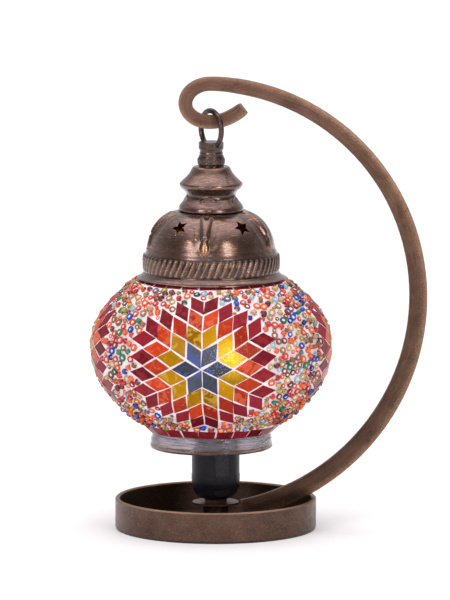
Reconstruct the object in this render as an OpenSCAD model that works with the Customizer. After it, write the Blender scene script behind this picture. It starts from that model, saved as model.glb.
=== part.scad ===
// Mosaic glass table lamp: a mosaic globe hangs from a swan-neck stand, over a bulb
// that stands on the base.
// +X runs along the arm's bow, +Y to the back, +Z up. The origin is the centre of the
// base's underside, on the table. All sizes are in millimetres.

/* [Base] */
// Outer diameter of the base ring
base_d = 140; // [136:1:144]
// Height of the base ring's rim above the table
base_h = 21.5; // [21:0.5:22]
// Wall of the base ring
base_wall = 3.2; // [2.6:0.2:3.6]
// Thickness of the felt under the base
felt_t = 0.8; // [0.6:0.1:1]

/* [Swan arm] */
// Thickness of the arm's plate, front to back
arm_t = 5; // [4:0.5:5.5]
// Radius of the bow, on the middle of the arm's face
bow_r = 150.75; // [150.5:0.25:151]
// Width of the arm's face along the hook
hook_w = 9.5; // [9:0.1:9.8]

/* [Link and finial] */
// Radius of the link ring, on the middle of its wire
link_r = 12.9; // [12.8:0.1:13]
// Diameter of the link's wire
link_wire = 3.8; // [3.6:0.1:3.8]
// Turn of the link's plane away from front-to-back
link_turn = 29; // [20:1:40]
// Diameter of the finial's top band
finial_d = 17.4; // [17:0.2:17.8]

/* [Cap] */
// Thickness of the spun sheet
cap_t = 1; // [0.8:0.1:1.1]
// Number of star-shaped vents round the dome
vent_count = 5; // [4:1:6]
// Radius of a vent's points
vent_r = 6; // [5:0.2:6.4]

/* [Globe] */
// Outer radius of the bare glass at its widest
globe_r = 82.3; // [82:0.1:82.5]
// Thickness of the glass
glass_t = 2.4; // [2:0.2:2.6]
// Thickness of the grout that the tiles are set in
grout_t = 1; // [0.8:0.1:1.2]
// Outer radius of the clear neck under the globe
neck_r = 42.3; // [42:0.1:42.5]

/* [Mosaic] */
// Side of a lozenge, with its share of the grout line
lozenge = 12.4; // [12:0.1:12.6]
// Width of a grout line
grout_gap = 1.1; // [0.8:0.1:1.6]
// Thickness of a tile
tile_t = 1.6; // [1.4:0.1:1.8]
// Number of tiles in the band under the cap
collar_count = 26; // [22:1:28]
// Number of tiles in the band over the neck
hem_count = 24; // [20:1:26]

/* [Lampholder and bulb] */
// Outer diameter of the lampholder
holder_d = 33.8; // [33.6:0.1:34]
// Diameter of the bulb's glass
bulb_d = 45; // [44:1:46]
// Thread pitch of the bulb's cap
thread_pitch = 3.6; // [3.5:0.1:3.7]

/* [Hidden] */
$fn = 96;

// Base: the floor plate hangs in the ring, and the felt closes the underside
base_r = base_d / 2;
floor_z = 1.8;
floor_t = 1.1;
floor_top = floor_z + floor_t;
screw_head_z = felt_t + 0.1;
foot_screw_x = [25, 34];
foot_screw_r = 1.5;
bush_z = 10.5;
bush_bore_r = 2.6;
bush_r = 3.9;

// Bow: half of the arm's face width leans on the angle round the bow
bow_centre = [-9.45, 160.9];
bow_angles = [-79.3, 81];
bow_steps = 64;
foot_box = [20, 41];
foot_depth = 14;

// Hook: middle line of the curl, as cubic curves in the X-Z plane
hook_curves = [
    [[14, 309.8], [8, 310.8], [2, 311.4], [-4, 311.4]],
    [[-4, 311.4], [-13.4, 311.4], [-21, 305.3], [-21, 297.8]],
    [[-21, 297.8], [-21, 290.6], [-13.6, 284.8], [-4, 284.8]],
    [[-4, 284.8], [5, 284.8], [12.5, 288.5], [20, 294.4]]];
hook_steps = 14;
tip_round = 2;

// Hanging line: the link sits over the hook's lowest point
hang_x = -3.1;
link_gap = 0.45;
saddle_z = 284.8 + hook_w / 2;
link_z = saddle_z + link_gap + 0.6 + link_wire / 2 - link_r;

// Finial and cap levels
finial_top = 271;
finial_foot = 253.9;
rod_r = 2.5;
rod_ends = [165, 262];
crown_top = 253.9;
dome_top = 223;
vent_z = 214.6;
vent_az = -58.5;
vent_lean = 15;

// Globe: two half ellipses meet at the equator, and a cone leads from the lower one
// to the neck
equator_z = 128;
globe_up = 57;
globe_down = 62.4;
lat_step = 4;
glass_lat = 60;
shoulder_lat = -52;
shoulder_foot = [41.7, 69.9];
grout_lat = [56, -60];
bead_lat = [48, -52];
mouth_r = 37;
mouth_top = 185;
mouth_foot = 181.4;
neck_top = 66;
neck_foot = 57;
lip_r = 1.7;
bead_h = 1.6;

// Mosaic: where the four stars sit, and how far a tile may stray
star_az = [-8.4, 97, 179, -101];
star_lat = -3.8;
star_rings = 4;
stray_deg = 2;
window_r = 54;
window_z = 125.6;
collar_lat = [49, 54.5];
hem_span = [0.34, 0.96];

// Hub and lampholder levels, from the floor up
nipple_r = 4.9;
hub_r = 8.7;
washer_z = 17.2;
washer_t = 1.1;
washer_r = 16.2;
nut_z = washer_z + washer_t;
dome_z = 21.3;
skirt_z = 38;
holder_top = 77;
tab_top = 58;
tab_half = 18;
tab_az = -73;
holder_r = holder_d / 2;

// Bulb levels
tip_z = 44.9;
bulb_mid = 98;

// ---------- curves ----------
function bezier(c, t) =
    pow(1 - t, 3) * c[0] + 3 * pow(1 - t, 2) * t * c[1]
    + 3 * (1 - t) * t * t * c[2] + pow(t, 3) * c[3];

function bezier_chain(curves, steps) =
    [for (c = curves) for (i = [1:steps]) bezier(c, i / steps)];

function arc(centre, r, from, to, steps) =
    [for (i = [0:steps]) let (a = from + (to - from) * i / steps)
        centre + r * [cos(a), sin(a)]];

function ellipse_arc(centre, rx, ry, from, to, steps) =
    [for (i = [0:steps]) let (a = from + (to - from) * i / steps)
        centre + [rx * cos(a), ry * sin(a)]];

function reversed(list) = [for (i = [len(list) - 1:-1:0]) list[i]];

// Normal of a polyline at point i, to the left of its direction
function normal_at(path, i) =
    let (last = len(path) - 1,
         d = path[min(i + 1, last)] - path[max(i - 1, 0)])
    [-d[1], d[0]] / norm(d);

// Closed outline of a strip along a path, with one half width per point
function strip(path, halves) =
    concat([for (i = [0:len(path) - 1]) path[i] + normal_at(path, i) * halves[i]],
           reversed([for (i = [0:len(path) - 1]) path[i] - normal_at(path, i) * halves[i]]));

function even(path, half) = [for (p = path) half];

module shell(path, t) {
    rotate_extrude() polygon(strip(path, even(path, t / 2)));
}

module tube(r_out, r_in, z0, z1) {
    translate([0, 0, z0]) difference() {
        cylinder(r = r_out, h = z1 - z0);
        translate([0, 0, -1]) cylinder(r = r_in, h = z1 - z0 + 2);
    }
}

module at_hang() {
    translate([hang_x, 0, 0]) children();
}

// ---------- base ----------
module base_ring() {
    inner = base_r - base_wall;
    edge = 0.8;
    color("#6b5446") difference() {
        rotate_extrude() polygon([
            [inner, felt_t], [base_r - edge, felt_t], [base_r, felt_t + edge],
            [base_r, base_h - edge], [base_r - edge, base_h],
            [inner + edge, base_h], [inner, base_h - edge]]);
        translate([0, base_r + 1, bush_z]) rotate([90, 0, 0])
            cylinder(r = bush_r, h = base_wall + 4);
    }
}

module base_floor() {
    color("#4f4038") difference() {
        tube(base_r - base_wall, nipple_r, floor_z, floor_top);
        for (x = foot_screw_x)
            translate([x, 0, 0]) cylinder(r = foot_screw_r, h = base_h);
    }
}

module base_felt() {
    color("#222222") cylinder(r = base_r - 0.6, h = felt_t);
}

// ---------- swan arm ----------
function bow_point(a) = bow_centre + bow_r * [cos(a), sin(a)];
function bow_half(a) = 5.75 + 0.45 * cos(a) - 0.7 * sin(a);
bow_path = [for (i = [0:bow_steps])
    bow_point(bow_angles[0] + (bow_angles[1] - bow_angles[0]) * i / bow_steps)];
bow_halves = [for (i = [0:bow_steps])
    bow_half(bow_angles[0] + (bow_angles[1] - bow_angles[0]) * i / bow_steps)];
hook_path = bezier_chain(hook_curves, hook_steps);
hook_count = len(hook_path);
hook_halves = [for (i = [0:hook_count - 1])
    hook_w / 2 + 0.25 * max(0, 1 - i / hook_steps)
    - tip_round * pow(max(0, (i - hook_count + 3) / 3), 2)];

module swan_arm() {
    color("#7a5c48") translate([0, arm_t / 2, 0]) rotate([90, 0, 0])
        linear_extrude(arm_t)
            polygon(strip(concat(bow_path, hook_path), concat(bow_halves, hook_halves)));
}

module arm_foot() {
    weld = 0.3;
    color("#6b5446") difference() {
        translate([foot_box[0], -foot_depth / 2, floor_top])
            cube([foot_box[1] - foot_box[0], foot_depth, 12 - floor_top]);
        translate([bow_centre[0], 0, bow_centre[1]]) rotate([90, 0, 0])
            cylinder(r = bow_r + bow_half(-72) - weld, h = 2 * foot_depth, center = true);
        for (x = foot_screw_x)
            translate([x, 0, 0]) cylinder(r = foot_screw_r, h = 7);
    }
}

module foot_screws() {
    head_r = 2.8;
    color("silver") for (x = foot_screw_x) translate([x, 0, 0]) {
        translate([0, 0, screw_head_z]) cylinder(r = head_r, h = floor_z - screw_head_z);
        translate([0, 0, screw_head_z]) cylinder(r = foot_screw_r, h = 7 - screw_head_z);
    }
}

module cord_bush() {
    inner = base_r - base_wall;
    color("#1c1c1e") translate([0, 0, bush_z]) rotate([-90, 0, 0]) difference() {
        union() {
            translate([0, 0, inner - 1.5]) cylinder(r = bush_r, h = base_wall + 2.9);
            translate([0, 0, base_r]) cylinder(r = 5.6, h = 1.4);
            translate([0, 0, inner - 1.8]) cylinder(r = 5.2, h = 1.2);
        }
        translate([0, 0, inner - 4]) cylinder(r = bush_bore_r, h = base_wall + 8);
    }
}

// ---------- hub ----------
module threaded_nipple() {
    bore_r = 3.3;
    top = 27;
    color("#b9a26a") difference() {
        union() {
            translate([0, 0, screw_head_z]) cylinder(r = 8, h = floor_z - screw_head_z);
            translate([0, 0, screw_head_z]) cylinder(r = nipple_r, h = top - screw_head_z);
        }
        cylinder(r = bore_r, h = top + 1);
    }
}

module lower_sleeve() {
    color("#4a3a31") tube(hub_r, nipple_r, floor_top, washer_z);
}

module hub_washer() {
    color("#8a6a54") tube(washer_r, nipple_r, washer_z, nut_z);
}

module lock_nut() {
    color("#7a5c40") difference() {
        translate([0, 0, nut_z]) rotate([0, 0, 30]) cylinder(r = hub_r, h = dome_z - nut_z, $fn = 6);
        cylinder(r = nipple_r, h = dome_z + 1);
    }
}

// ---------- lampholder ----------
holder_curve = [[[10.6, dome_z], [14, dome_z + 1], [holder_r, dome_z + 7],
                 [holder_r, skirt_z - 3]]];

module tab_wedge(z0, z1, half, r0, r1) {
    for (side = [0, 180])
        rotate([0, 0, tab_az + side - half]) translate([0, 0, z0])
            rotate_extrude(angle = 2 * half) translate([r0, 0]) square([r1 - r0, z1 - z0]);
}

module holder_dome() {
    wall = 1.6;
    curve = concat([[10.6, dome_z]], bezier_chain(holder_curve, 8));
    color("#26242a") {
        rotate_extrude() polygon(concat(
            [[nipple_r, dome_z]], curve, [[holder_r, skirt_z], [holder_r - wall, skirt_z]],
            reversed([for (p = curve) [p[0] - wall * 1.1, p[1] + wall * 0.8]]),
            [[nipple_r, dome_z + wall]]));
        tab_wedge(skirt_z - 0.5, tab_top, tab_half - 0.6, holder_r - 1.4, holder_r);
    }
}

module holder_skirt() {
    color("#2b292f") difference() {
        rotate_extrude() polygon([
            [holder_r - 1.5, skirt_z], [holder_r - 0.25, skirt_z],
            [holder_r - 0.25, holder_top - 0.8], [holder_r - 1, holder_top],
            [holder_r - 1.5, holder_top]]);
        tab_wedge(skirt_z - 1, tab_top + 0.4, tab_half, holder_r - 2, holder_r + 1);
    }
}

module holder_core() {
    color("#e8e4da") difference() {
        translate([0, 0, 34]) cylinder(r = holder_r - 1.9, h = 40);
        translate([0, 0, 43]) cylinder(r = 14.2, h = 40);
        translate([0, 0, 33]) cylinder(r = 11, h = 4);
        for (x = [-8, 8]) translate([x, 0, 33]) cylinder(r = 1.5, h = 8);
    }
}

module core_screws() {
    color("silver") for (x = [-8, 8]) translate([x, 0, 0]) {
        translate([0, 0, 35]) cylinder(r = 2.6, h = 2);
        translate([0, 0, 36]) cylinder(r = 1.5, h = 5);
    }
}

module screw_shell() {
    rib = 0.25;
    wall_r = 13.7;
    ribs = 6;
    color("#c9a84f") {
        difference() {
            translate([0, 0, 43.1]) cylinder(r = wall_r + 0.45, h = 27);
            translate([0, 0, 43.6]) cylinder(r = wall_r, h = 28);
            translate([0, 0, 42]) cylinder(r = 8, h = 3);
        }
        for (i = [0:ribs - 1]) translate([0, 0, 48 + i * thread_pitch])
            rotate_extrude() translate([wall_r, 0])
                polygon([[0.1, 0], [0.1, 1.4], [-rib, 1], [-rib, 0.4]]);
    }
}

module centre_contact() {
    color("#d8c07a") {
        translate([-2, -7, 43]) cube([4, 9, 0.5]);
        translate([-2, 1.5, 43]) cube([4, 0.5, 1.5]);
        translate([-2, -2.5, 44.1]) cube([4, 4.5, 0.5]);
    }
}

// ---------- bulb ----------
module bulb_tip() {
    color("#b8bcc0") translate([0, 0, tip_z]) rotate_extrude()
        polygon(concat([[0, 0]], arc([1.6, 1.6], 1.6, -90, 0, 8), [[3.2, 2.1], [0, 2.1]]));
}

module bulb_insulator() {
    color("#17181c") translate([0, 0, tip_z + 2.1]) cylinder(r1 = 4.6, r2 = 10.6, h = 3);
}

module bulb_cap() {
    z0 = tip_z + 5.1;
    wall = 0.6;
    core_r = 12.3;
    crest = 0.75;
    turns = 5;
    color("#c8ccd0") difference() {
        union() {
            translate([0, 0, z0]) cylinder(r1 = 10.8, r2 = core_r, h = 2);
            translate([0, 0, z0 + 2]) cylinder(r = core_r, h = 21.5);
            for (i = [0:turns - 1]) translate([0, 0, z0 + 3.2 + i * thread_pitch])
                rotate_extrude() translate([core_r - 0.2, 0])
                    polygon([[0, -1], [crest, -0.4], [crest, 0.4], [0, 1]]);
        }
        translate([0, 0, z0 + 0.8]) cylinder(r = core_r - wall, h = 30);
    }
}

bulb_neck_z = tip_z + 27.2;
bulb_curve = concat(
    [[11.2, bulb_neck_z], [11.3, bulb_neck_z + 2]],
    arc([0, bulb_mid], bulb_d / 2, -52, 89, 24));

module bulb_glass() {
    color([0.95, 0.95, 0.93, 0.6]) shell(bulb_curve, 0.8);
}

module bulb_stem() {
    color([0.9, 0.95, 0.97, 0.5]) {
        translate([0, 0, bulb_neck_z - 2]) cylinder(r1 = 10.6, r2 = 3, h = 10);
        translate([0, 0, bulb_neck_z + 8]) cylinder(r = 2, h = 25.4);
    }
}

// Four lit rods, each held at both ends by a wire from the glass stem
module bulb_filaments() {
    out = 7;
    length = 24;
    stem_r = 2;
    color("#e9d36a") for (a = [45:90:315]) rotate([0, 0, a]) translate([0, 0, bulb_neck_z + 9]) {
        translate([out, 0, 0]) cylinder(r = 0.9, h = length, $fn = 24);
        for (z = [0.5, length - 0.5]) translate([stem_r, 0, z]) rotate([0, 90, 0])
            cylinder(r = 0.3, h = out - stem_r, $fn = 16);
    }
}

// ---------- link and finial ----------
module link_ring() {
    color("#6f5341") at_hang() translate([0, 0, link_z])
        rotate([0, 0, link_turn - 90]) rotate([90, 0, 0])
            rotate_extrude() translate([link_r, 0]) circle(d = link_wire, $fn = 32);
}

module finial() {
    band_r = finial_d / 2;
    waist_r = band_r - 0.8;
    color("#7a5c48") difference() {
        at_hang() rotate_extrude() polygon([
            [0, finial_foot], [8.7, finial_foot], [8.8, 255], [9.2, 256.4], [9.2, 259.2],
            [8.6, 261.2], [waist_r, 262.2], [waist_r + 0.3, 262.6], [waist_r + 0.3, 263.3],
            [waist_r, 263.7], [waist_r, 265], [band_r - 0.4, 265.8], [band_r, 266.5],
            [band_r, 270.4], [band_r - 0.7, finial_top], [0, finial_top]]);
        at_hang() translate([0, 0, finial_foot - 1])
            cylinder(r = rod_r, h = rod_ends[1] - finial_foot + 1);
        at_hang() translate([0, 0, link_z]) rotate([0, 0, link_turn - 90])
            rotate([90, 0, 0]) rotate_extrude() translate([link_r, 0])
                circle(d = link_wire + 2 * link_gap, $fn = 32);
    }
}

module hanger_rod() {
    color("#b9a26a") at_hang() translate([0, 0, rod_ends[0]])
        cylinder(r = rod_r, h = rod_ends[1] - rod_ends[0]);
}

// ---------- cap ----------
crown_path = concat(
    [[rod_r, crown_top - cap_t / 2], [11.2, crown_top - cap_t / 2]],
    bezier_chain([
        [[11.2, 253.4], [12.8, 253.4], [13, 251.2], [14.8, 248.8]],
        [[14.8, 248.8], [16.4, 246.7], [19.4, 243.9], [20.9, 242.6]],
        [[20.9, 242.6], [21.8, 241.8], [21.6, 240.6], [20.7, 239.6]],
        [[20.7, 239.6], [18.8, 237.4], [16.6, 236.4], [16.6, 234.2]],
        [[16.6, 234.2], [16.6, 232.2], [17.8, 231], [19.2, 229.4]],
        [[19.2, 229.4], [21.6, 226.8], [22.2, 226], [22.2, 223.3]]], 6));

module cap_crown() {
    color("#7d5a45") at_hang() shell(crown_path, cap_t);
}

dome_path = concat(
    [[rod_r, dome_top - cap_t / 2]],
    ellipse_arc([20, 194], 24, 28.5, 90, 8, 16),
    bezier_chain([
        [[43.8, 198], [44.3, 195.4], [46.1, 193.4], [46.3, 191.4]],
        [[46.3, 191.4], [46.8, 188], [46.6, 185], [46.4, 183.4]],
        [[46.4, 183.4], [46.4, 180], [48, 177.6], [51.2, 176.2]]], 8));

module star_2d(r) {
    inner = 0.42;
    polygon([for (i = [0:9]) r * (i % 2 == 0 ? 1 : inner) * [cos(36 * i), sin(36 * i)]]);
}

// Half of the stars point down, half point up, and each leans a little
function vent_turn(i) = 2 * i < vent_count ? -vent_lean : 180 + vent_lean;

module cap_dome() {
    color("#7d5a45") at_hang() difference() {
        shell(dome_path, cap_t);
        for (i = [0:vent_count - 1]) rotate([0, 0, vent_az + i * 360 / vent_count])
            translate([25, 0, vent_z]) rotate([0, 90, 0]) rotate([0, 0, vent_turn(i)])
                linear_extrude(25) star_2d(vent_r);
    }
}

module hex_nut(across, z0, z1) {
    difference() {
        translate([0, 0, z0]) cylinder(d = across, h = z1 - z0, $fn = 6);
        translate([0, 0, z0 - 1]) cylinder(r = rod_r, h = z1 - z0 + 2);
    }
}

module crown_nut() {
    color("#b9a26a") at_hang() hex_nut(11, dome_top - cap_t - 4, dome_top - cap_t);
}

module centring_gasket() {
    color("#2a2a2c") at_hang() tube(45.6, mouth_r + glass_t, 182, 184.6);
}

strap_z = 171.4;
strap_half = 40;

module globe_strap() {
    color("#9a9da0") at_hang() difference() {
        translate([-strap_half, -6, strap_z]) cube([2 * strap_half, 12, 1.5]);
        translate([0, 0, strap_z - 1]) cylinder(r = rod_r, h = 4);
    }
}

module strap_tips() {
    color("#2a2a2c") at_hang() for (side = [-1, 1])
        translate([side * (strap_half - 2.5) - 2.5, -6, strap_z + 1.5]) cube([5, 12, 1]);
}

module strap_nut() {
    color("#b9a26a") at_hang() hex_nut(9.2, strap_z - 4, strap_z);
}

// ---------- globe ----------
function half_height(lat, grow) = (lat > 0 ? globe_up : globe_down) + grow;

// Point of the globe's profile at a latitude, grow millimetres outside the bare glass
function profile(lat, grow) =
    lat < shoulder_lat ? shoulder((lat - shoulder_lat) / (-glass_lat - shoulder_lat), grow)
    : [(globe_r + grow) * cos(lat), equator_z + half_height(lat, grow) * sin(lat)];

// Point of the cone under the globe: share 0 is its top and share 1 its foot
shoulder_top = profile(shoulder_lat, 0);
shoulder_run = shoulder_foot - shoulder_top;
shoulder_len = norm(shoulder_run);
function shoulder(share, grow) =
    shoulder_top + share * shoulder_run
    + grow * [-shoulder_run[1], shoulder_run[0]] / shoulder_len;

// Every layer of the globe has its corners at the same latitudes, so the layers meet
function profile_arc(from, to, grow) =
    [for (lat = [from:from < to ? lat_step : -lat_step:to]) profile(lat, grow)];

module glass_globe() {
    inner_r = neck_r - glass_t;
    color([0.85, 0.88, 0.9, 0.45]) at_hang() {
        rotate_extrude() polygon(concat(
            [[mouth_r, mouth_top], [mouth_r + glass_t, mouth_top], [mouth_r + glass_t, mouth_foot]],
            profile_arc(glass_lat, -glass_lat, 0),
            [[neck_r, neck_top], [neck_r, neck_foot + lip_r],
             [inner_r, neck_foot + lip_r], [inner_r, neck_top]],
            profile_arc(-glass_lat, glass_lat, -glass_t),
            [[mouth_r, mouth_foot - glass_t / 2]]));
        translate([0, 0, neck_foot + lip_r]) rotate_extrude()
            translate([neck_r - glass_t / 2, 0]) circle(r = lip_r, $fn = 24);
    }
}

module skin(lats, inner, outer) {
    rotate_extrude() polygon(concat(
        profile_arc(lats[0], lats[1], outer), profile_arc(lats[1], lats[0], inner)));
}

module grout_skin() {
    color("#e6dcdc") at_hang() skin(grout_lat, 0, grout_t);
}

module bead_layer() {
    color("#c8762e") at_hang() difference() {
        skin(bead_lat, grout_t, grout_t + bead_h);
        for (az = star_az) rotate([0, 0, az - 90]) translate([20, 0, window_z])
            rotate([0, 90, 0]) cylinder(r = window_r, h = 80);
    }
}

// ---------- mosaic ----------
// The ellipsoid is the unit sphere stretched, so a star is laid out on the sphere.
function dot(a, b) = a * b;
function on_globe(d, grow) =
    [(globe_r + grow) * d[0], (globe_r + grow) * d[1],
     equator_z + half_height(d[2], grow) * d[2]];
function outward(d) =
    let (n = [d[0] / globe_r, d[1] / globe_r, d[2] / half_height(d[2], 0)]) n / norm(n);

// Direction on the sphere of flat star coordinates (u, v), for a star at azimuth az
function star_dir(az, uv) =
    let (q = uv[1] / half_height(uv[1], 0),
         up = uv[0] / globe_r, vp = q - 0.1 * pow(q, 3),
         rho = max(norm([up, vp]), 0.0001), s = sin(rho * 180 / PI) / rho,
         n = [cos(star_lat) * cos(az), cos(star_lat) * sin(az), sin(star_lat)],
         e = [-sin(az), cos(az), 0],
         m = [-sin(star_lat) * cos(az), -sin(star_lat) * sin(az), cos(star_lat)])
    cos(rho * 180 / PI) * n + s * (up * e + vp * m);

// A flat tile over the corner directions, laid on the glass at their middle
module tile(corners) {
    middle = [for (k = [0:2]) (corners[0][k] + corners[1][k] + corners[2][k]
                               + corners[3][k]) / 4];
    d = middle / norm(middle);
    n = outward(d);
    seat = on_globe(d, 0.05);
    az = atan2(n[1], n[0]);
    tilt = acos(n[2]);
    ex = [cos(tilt) * cos(az), cos(tilt) * sin(az), -sin(tilt)];
    ey = [-sin(az), cos(az), 0];
    translate(seat) rotate([0, tilt, az]) linear_extrude(tile_t)
        polygon([for (c = corners) let (p = on_globe(c, 0.05) - seat) [dot(p, ex), dot(p, ey)]]);
}

function turned(p, centre, a) =
    let (q = p - centre)
    centre + [cos(a) * q[0] - sin(a) * q[1], sin(a) * q[0] + cos(a) * q[1]];

// Ring k of a star has 6(k + 1) lozenges: in each sixth, steps (i, k - i)
module star_ring(az, k) {
    inset = (1 - grout_gap / (lozenge * sin(60))) / 2;
    for (sixth = [0:5]) for (i = [0:k]) {
        a = 30 + 60 * sixth;
        ua = lozenge * [cos(a), sin(a)];
        ub = lozenge * [cos(a + 60), sin(a + 60)];
        mid = (i + 0.5) * ua + (k - i + 0.5) * ub;
        seed = 1000 * k + 100 * sixth + 10 * i + round(az + 180);
        lean = rands(-stray_deg, stray_deg, 1, seed)[0];
        tile([for (s = [[-1, -1], [1, -1], [1, 1], [-1, 1]])
            star_dir(az - 90, turned(mid + inset * (s[0] * ua + s[1] * ub), mid, lean))]);
    }
}

module star_tiles(k) {
    at_hang() for (az = star_az) star_ring(az, k);
}

module tiles_blue() {
    color("#47536f") star_tiles(0);
}

module tiles_yellow() {
    color("#c79a1c") star_tiles(1);
}

module tiles_orange() {
    color("#c4452a") star_tiles(2);
}

module tiles_red() {
    color("#7c2434") star_tiles(star_rings - 1);
}

// Half the angle that one of count tiles in a band takes
function band_half(count) = 0.91 * 180 / count;

// The band under the cap
module collar_tiles() {
    half = band_half(collar_count);
    color("#7c1d26") at_hang() for (i = [0:collar_count - 1])
        tile([for (s = [[0, -1], [0, 1], [1, 1], [1, -1]])
            let (lat = collar_lat[s[0]], az = i * 360 / collar_count + s[1] * half)
            [cos(lat) * cos(az), cos(lat) * sin(az), sin(lat)]]);
}

// The band on the cone over the neck
module hem_tiles() {
    half = band_half(hem_count);
    seat = shoulder(hem_span[0], 0.05);
    foot = shoulder(hem_span[1], 0.05);
    slope = atan2(-shoulder_run[1], shoulder_run[0]);
    color("#7c1d26") at_hang() for (i = [0:hem_count - 1])
        rotate([0, 0, (i + 0.5) * 360 / hem_count]) translate([seat[0], 0, seat[1]])
            rotate([0, slope, 0]) linear_extrude(tile_t) polygon([
                [0, -seat[0] * tan(half)], [norm(foot - seat), -foot[0] * tan(half)],
                [norm(foot - seat), foot[0] * tan(half)], [0, seat[0] * tan(half)]]);
}

base_ring();
base_floor();
base_felt();
swan_arm();
arm_foot();
foot_screws();
cord_bush();
threaded_nipple();
lower_sleeve();
hub_washer();
lock_nut();
holder_dome();
holder_skirt();
holder_core();
core_screws();
screw_shell();
centre_contact();
bulb_tip();
bulb_insulator();
bulb_cap();
bulb_glass();
bulb_stem();
bulb_filaments();
link_ring();
finial();
hanger_rod();
cap_crown();
cap_dome();
crown_nut();
centring_gasket();
globe_strap();
strap_tips();
strap_nut();
glass_globe();
grout_skin();
tiles_blue();
tiles_yellow();
tiles_orange();
tiles_red();
collar_tiles();
hem_tiles();
bead_layer();
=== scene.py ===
"""Looks of a mosaic glass table lamp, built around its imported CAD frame.

Shapes are worked out in millimetres, with +X along the arm's bow, +Y to the back and
+Z up, and become metres when a piece is made.
"""
import itertools
import math
import random

import bmesh
import bpy
import numpy as np
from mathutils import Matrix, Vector


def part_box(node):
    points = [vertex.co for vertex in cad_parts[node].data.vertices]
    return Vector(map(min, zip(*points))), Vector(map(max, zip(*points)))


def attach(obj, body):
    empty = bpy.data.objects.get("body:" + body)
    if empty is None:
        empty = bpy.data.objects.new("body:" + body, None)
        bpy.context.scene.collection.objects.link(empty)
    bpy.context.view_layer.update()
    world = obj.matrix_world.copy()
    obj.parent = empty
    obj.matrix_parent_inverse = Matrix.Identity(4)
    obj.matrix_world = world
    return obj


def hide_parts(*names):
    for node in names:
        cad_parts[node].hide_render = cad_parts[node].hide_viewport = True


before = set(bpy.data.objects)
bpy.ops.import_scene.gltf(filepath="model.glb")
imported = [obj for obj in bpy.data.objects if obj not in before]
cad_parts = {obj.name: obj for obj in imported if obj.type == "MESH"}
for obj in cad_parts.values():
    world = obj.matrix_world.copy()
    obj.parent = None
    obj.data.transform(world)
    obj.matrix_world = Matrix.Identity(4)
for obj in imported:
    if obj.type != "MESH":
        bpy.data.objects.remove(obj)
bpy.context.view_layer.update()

MM = 0.001
TURN = 2 * math.pi


# ----- places, taken from the CAD nodes -----
def low_high(node):
    """Lowest and highest corner of a CAD node, in millimetres."""
    low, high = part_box(node)
    return np.array(low) / MM, np.array(high) / MM


GLOBE_LOW, GLOBE_HIGH = low_high("glass_globe")
HANG_X = (GLOBE_LOW[0] + GLOBE_HIGH[0]) / 2
GLOBE_R = (GLOBE_HIGH[0] - GLOBE_LOW[0]) / 2
EQUATOR_Z = 128.0
GLOBE_UP = 57.0
GLOBE_DOWN = 62.4
GLASS_T = 2.4
GROUT_T = 1.0
STAR_GROUT_T = 1.5
GLASS_LAT = 60.0
SHOULDER_LAT = -52.0
SHOULDER_TOP = np.array([GLOBE_R * math.cos(math.radians(SHOULDER_LAT)),
                         EQUATOR_Z + GLOBE_DOWN * math.sin(math.radians(SHOULDER_LAT))])
SHOULDER_FOOT = np.array([41.7, 69.9])
SHOULDER_RUN = SHOULDER_FOOT - SHOULDER_TOP
SHOULDER_OUT = np.array([-SHOULDER_RUN[1], SHOULDER_RUN[0]]) / np.linalg.norm(SHOULDER_RUN)
GROUT_LATS = (56.0, -60.0)
BEAD_LATS = (52.4, -54.6)
COLLAR_TRIM = 0.5
VIEW_AZ, VIEW_EL = -4.0, 8.2
# Latitude and azimuth, in degrees, of the spot round which the tiles get a painted glow.
GLOW_AT = (3.5, -85.0)


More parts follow.
